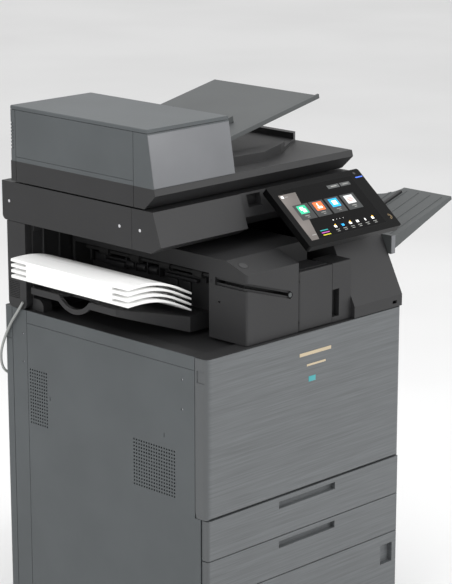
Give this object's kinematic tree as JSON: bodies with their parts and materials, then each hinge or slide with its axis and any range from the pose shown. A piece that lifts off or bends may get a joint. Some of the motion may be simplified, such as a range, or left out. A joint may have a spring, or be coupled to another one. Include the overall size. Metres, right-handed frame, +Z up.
{
  "type": "photocopier",
  "caption": "Floor-standing office photocopier with document feeder, tilting touch panel, inner finisher with exit tray, paper drawers and a cabinet",
  "frame": {"origin": "on the floor, under the middle of the whole outline, trays and paper included", "axes": "+X to the machine's right as its user faces it, +Y to the back, +Z up"},
  "size_m": [0.8866, 0.6705, 1.205],
  "materials": {
    "side_grey": "fine grained moulding",
    "front_grey": "moulding with fine level streaks",
    "light_grey": "satin moulding",
    "charcoal": "fine grained moulding",
    "panel_black": "satin black",
    "screen": "glossy, lit picture",
    "steel": "zinc plated sheet",
    "screw_metal": "bright plated",
    "rubber_black": "matt",
    "tray_grey": "satin moulding",
    "paper": "plain white sheets",
    "platen_glass": "clear",
    "white_mat": "foam mat, matt",
    "cable_grey": "satin sheath",
    "unit_black": "matt moulding",
    "drum_teal": "glossy coating",
    "toner_plastic": "bottles with colour bands",
    "belt_dark": "satin film",
    "board_green": "coated board",
    "key_grey": "satin"
  },
  "bodies": {
    "machine": {"base_frame": "steel", "levelling_feet": "rubber_black", "chassis": "steel", "left_side_cover": "side_grey", "rear_cover": "side_grey", "right_side_cover": "side_grey", "bay_deck": "charcoal", "left_rear_pillar": "charcoal", "bay_walls": "charcoal", "front_right_column": "charcoal", "scanner_housing": "charcoal", "scanner_front_cover": "charcoal", "platen_glass": "platen_glass", "right_exit_tray": "tray_grey", "cover_screws": "screw_metal", "inner_front_panel": "charcoal", "laser_unit": "unit_black", "fuser_housing": "unit_black", "transfer_belt": "belt_dark", "drum_units": "drum_teal", "toner_cartridges": "toner_plastic", "control_board": "board_green", "panel_arm": "charcoal", "adf_hinges": "steel", "finisher_cable": "cable_grey"},
    "scan_carriage": {"scan_carriage": "unit_black"},
    "mirror_carriage": {"mirror_carriage": "unit_black"},
    "heat_roller": {"heat_roller": "belt_dark"},
    "front_cover": {"front_cover": "front_grey"},
    "power_switch": {"power_switch": "unit_black"},
    "panel": {"operation_panel": "panel_black", "touch_screen": "screen"},
    "power_key": {"power_key": "key_grey"},
    "lid": {"adf_base": "charcoal", "platen_mat": "white_mat", "adf_feed_housing": "side_grey"},
    "adf_top_cover": {"adf_top_cover": "side_grey"},
    "document_tray": {"document_tray": "tray_grey"},
    "document_guide_front": {"document_guide_front": "tray_grey"},
    "document_guide_rear": {"document_guide_rear": "tray_grey"},
    "adf_feed_roller": {"adf_feed_roller": "rubber_black"},
    "finisher": {"finisher_housing": "charcoal"},
    "finisher_cover": {"finisher_cover": "charcoal"},
    "exit_roller": {"exit_roller": "rubber_black"},
    "stapler_unit": {"stapler_unit": "unit_black"},
    "staple_key": {"staple_key": "key_grey"},
    "output_tray": {"output_tray": "charcoal"},
    "paper_sets": {"paper_sets": "paper"},
    "right_door": {"right_door": "side_grey"},
    "bypass_tray": {"bypass_tray": "tray_grey"},
    "cabinet_door": {"cabinet_door": "front_grey"},
    "upper_drawer": {"upper_drawer_tub": "light_grey", "upper_drawer_front": "front_grey"},
    "upper_lift_plate": {"upper_lift_plate": "steel"},
    "upper_length_guide": {"upper_length_guide": "key_grey"},
    "lower_drawer": {"lower_drawer_tub": "light_grey", "lower_drawer_front": "front_grey"},
    "lower_lift_plate": {"lower_lift_plate": "steel"},
    "lower_length_guide": {"lower_length_guide": "key_grey"}
  },
  "joints": [
    {"name": "scan_travel", "type": "slide", "parent": "machine", "child": "scan_carriage", "axis": [1, 0, 0], "range_m": [0, 0.4]},
    {"name": "mirror_travel", "type": "slide", "parent": "machine", "child": "mirror_carriage", "axis": [1, 0, 0], "range_m": [0, 0.2]},
    {"name": "heat_roller_spin", "type": "hinge", "parent": "machine", "child": "heat_roller", "pos_m": [0.173, -0.042, 0.672], "axis": [0, 1, 0], "continuous": true},
    {"name": "front_cover_hinge", "type": "hinge", "parent": "machine", "child": "front_cover", "pos_m": [-0.073, -0.303, 0.415], "axis": [1, 0, 0], "range_deg": [0, 85]},
    {"name": "power_switch_rock", "type": "hinge", "parent": "machine", "child": "power_switch", "pos_m": [-0.345, -0.276, 0.592], "axis": [-1, 0, 0], "range_deg": [0, 10]},
    {"name": "panel_tilt", "type": "hinge", "parent": "machine", "child": "panel", "pos_m": [0.1131, -0.25698, 0.95805], "axis": [1, 0, 0], "range_deg": [-12, 30]},
    {"name": "power_key_press", "type": "slide", "parent": "panel", "child": "power_key", "axis": [0, 0.6334, -0.7738], "range_m": [0, 0.0012], "stiffness_N_per_m": 600},
    {"name": "lid_hinge", "type": "hinge", "parent": "machine", "child": "lid", "pos_m": [-0.073, 0.31, 1.05], "axis": [-1, 0, 0], "range_deg": [0, 65]},
    {"name": "adf_top_cover_hinge", "type": "hinge", "parent": "lid", "child": "adf_top_cover", "pos_m": [-0.378, 0.068, 1.202], "axis": [0, -1, 0], "range_deg": [0, 70]},
    {"name": "document_tray_hinge", "type": "hinge", "parent": "lid", "child": "document_tray", "pos_m": [-0.13, 0.088, 1.113], "axis": [0, -1, 0], "range_deg": [0, 25]},
    {"name": "front_guide_slide", "type": "slide", "parent": "document_tray", "child": "document_guide_front", "axis": [0, -1, 0], "range_m": [0, 0.055]},
    {"name": "rear_guide_slide", "type": "slide", "parent": "document_tray", "child": "document_guide_rear", "axis": [0, 1, 0], "range_m": [0, 0.055]},
    {"name": "feed_roller_spin", "type": "hinge", "parent": "lid", "child": "adf_feed_roller", "pos_m": [-0.231, 0.068, 1.153], "axis": [0, 1, 0], "continuous": true},
    {"name": "finisher_slide", "type": "slide", "parent": "machine", "child": "finisher", "axis": [-1, 0, 0], "range_m": [0, 0.12]},
    {"name": "finisher_cover_hinge", "type": "hinge", "parent": "finisher", "child": "finisher_cover", "pos_m": [-0.085, -0.293, 0.817], "axis": [0, 0, -1], "range_deg": [0, 90]},
    {"name": "exit_roller_spin", "type": "hinge", "parent": "finisher", "child": "exit_roller", "pos_m": [-0.214, 0.008, 0.872], "axis": [0, 1, 0], "continuous": true},
    {"name": "stapler_slide", "type": "slide", "parent": "finisher", "child": "stapler_unit", "axis": [0, 1, 0], "range_m": [-0.04, 0.2]},
    {"name": "staple_key_press", "type": "slide", "parent": "finisher", "child": "staple_key", "axis": [0, 0.3393, -0.9407], "range_m": [0, 0.0015], "stiffness_N_per_m": 600},
    {"name": "output_tray_lift", "type": "slide", "parent": "finisher", "child": "output_tray", "axis": [0, 0, 1], "range_m": [0, 0.03]},
    {"name": "paper_slide", "type": "slide", "parent": "output_tray", "child": "paper_sets", "axis": [-0.9903, 0, 0.1386], "range_m": [0, 0.08]},
    {"name": "right_door_hinge", "type": "hinge", "parent": "machine", "child": "right_door", "pos_m": [0.226, 0.252, 0.562], "axis": [0, 0, 1], "range_deg": [0, 75]},
    {"name": "bypass_tray_hinge", "type": "hinge", "parent": "right_door", "child": "bypass_tray", "pos_m": [0.23, 0.029, 0.448], "axis": [0, 1, 0], "range_deg": [0, 70]},
    {"name": "cabinet_door_hinge", "type": "hinge", "parent": "machine", "child": "cabinet_door", "pos_m": [-0.37, -0.304, 0.14], "axis": [0, 0, -1], "range_deg": [0, 95]},
    {"name": "upper_drawer_slide", "type": "slide", "parent": "machine", "child": "upper_drawer", "axis": [0, -1, 0], "range_m": [0, 0.4]},
    {"name": "upper_lift_plate_hinge", "type": "hinge", "parent": "upper_drawer", "child": "upper_lift_plate", "pos_m": [-0.278, 0.008, 0.319], "axis": [0, -1, 0], "range_deg": [0, 6]},
    {"name": "upper_length_guide_slide", "type": "slide", "parent": "upper_drawer", "child": "upper_length_guide", "axis": [1, 0, 0], "range_m": [0, 0.12]},
    {"name": "lower_drawer_slide", "type": "slide", "parent": "machine", "child": "lower_drawer", "axis": [0, -1, 0], "range_m": [0, 0.4]},
    {"name": "lower_lift_plate_hinge", "type": "hinge", "parent": "lower_drawer", "child": "lower_lift_plate", "pos_m": [-0.278, 0.008, 0.229], "axis": [0, -1, 0], "range_deg": [0, 6]},
    {"name": "lower_length_guide_slide", "type": "slide", "parent": "lower_drawer", "child": "lower_length_guide", "axis": [1, 0, 0], "range_m": [0, 0.12]}
  ],
  "couplings": [
    {"joint": "mirror_travel", "follows": "scan_travel", "ratio": 0.5},
    {"joint": "rear_guide_slide", "follows": "front_guide_slide", "ratio": 1}
  ]
}
